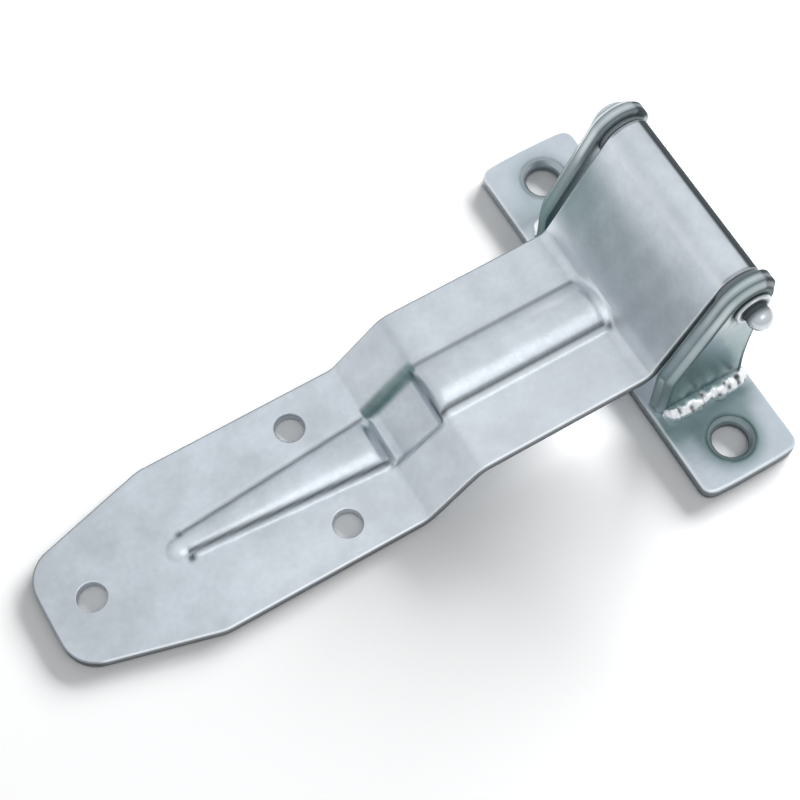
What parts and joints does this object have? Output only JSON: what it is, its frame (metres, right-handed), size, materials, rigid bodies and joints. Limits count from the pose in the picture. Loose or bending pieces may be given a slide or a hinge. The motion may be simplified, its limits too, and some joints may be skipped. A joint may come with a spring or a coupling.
{
  "type": "leaf hinge",
  "caption": "Strap leaf hinge for a vehicle or container door: a pressed, joggled strap leaf with a raised bead, rolled round a pin held between welded bracket ears on a plate",
  "frame": {"origin": "midway between the two bracket holes on the bracket's mounting face", "axes": "+Z out of the mounting face, +X from the bracket towards the strap's tip, +Y along the hinge pin towards its rounded tail"},
  "size_m": [0.2299, 0.1364, 0.0665],
  "materials": {
    "zinc_sheet": "satin zinc plating on pressed steel sheet",
    "zinc_plate": "satin zinc plating on steel plate",
    "weld_bead": "rippled weld metal, zinc plated",
    "zinc_pin": "smooth zinc plating on turned steel"
  },
  "bodies": {
    "bracket": {"base_plate": "zinc_plate", "ear_left": "zinc_plate", "ear_right": "zinc_plate", "weld_left": "weld_bead", "weld_right": "weld_bead", "hinge_pin": "zinc_pin", "thrust_washer_left": "zinc_pin", "thrust_washer_right": "zinc_pin", "end_washer": "zinc_pin"},
    "strap": {"strap_leaf": "zinc_sheet"}
  },
  "joints": [
    {"name": "leaf_hinge", "type": "hinge", "parent": "bracket", "child": "strap", "pos_m": [-0.009, 0, 0.0565], "axis": [0, -1, 0], "range_deg": [0, 270]}
  ]
}
